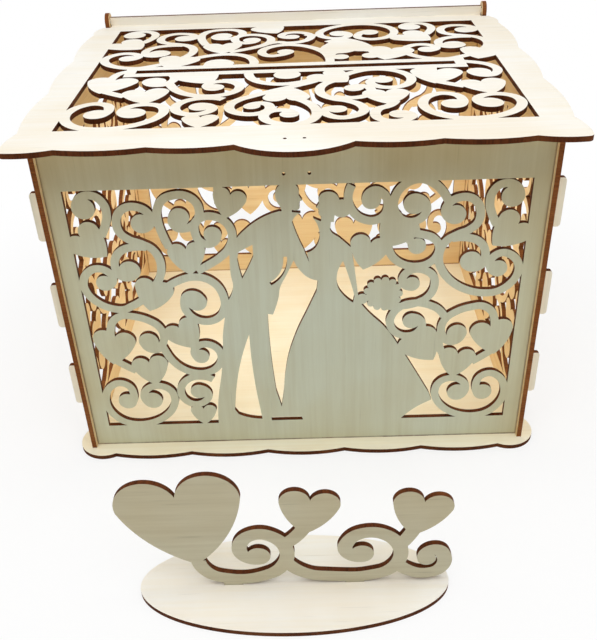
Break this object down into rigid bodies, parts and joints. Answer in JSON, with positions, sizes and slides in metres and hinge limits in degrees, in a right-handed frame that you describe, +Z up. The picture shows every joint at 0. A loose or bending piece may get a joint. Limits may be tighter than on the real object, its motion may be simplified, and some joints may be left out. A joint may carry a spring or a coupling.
{
  "type": "wedding card box",
  "caption": "Laser-cut plywood wedding card box with scroll-and-heart fretted walls, a dancing couple on the front, a hinged lid with a card slot and a separate standing sign.",
  "frame": {"origin": "centre of the box's underside, on the table", "axes": "+Z up, -Y out of the fretted front with the couple, +X to the right seen from the front"},
  "size_m": [0.3034, 0.3954, 0.2294],
  "materials": {
    "pale_ply": "bare sanded basswood ply with laser-browned edges",
    "washed_ply": "grey-washed ply with laser-browned edges",
    "warm_ply": "bare ply, warm tan, with laser-browned edges",
    "warm_ply_side": "bare ply, warm tan, with laser-browned edges",
    "lid_ply": "bare sanded basswood ply with laser-browned edges",
    "bar_ply": "bare sanded basswood ply with laser-browned edges",
    "foot_ply": "bare sanded basswood ply with laser-browned edges",
    "sign_ply": "grey-washed ply with laser-browned edges"
  },
  "bodies": {
    "box": {"base_plate": "pale_ply", "front_panel": "washed_ply", "back_panel": "warm_ply", "left_side_panel": "warm_ply_side", "right_side_panel": "warm_ply_side"},
    "lid": {"lid_panel": "lid_ply", "hinge_bar": "bar_ply"},
    "sign": {"sign_base": "foot_ply", "sign_ornament": "sign_ply"}
  },
  "joints": [
    {"name": "lid_hinge", "type": "hinge", "parent": "box", "child": "lid", "pos_m": [0, 0.1118, 0.2234], "axis": [-1, 0, 0], "range_deg": [0, 110]},
    {"name": "sign_lift", "type": "slide", "parent": "box", "child": "sign", "axis": [0, 0, 1], "range_m": [0, 0.1]}
  ]
}
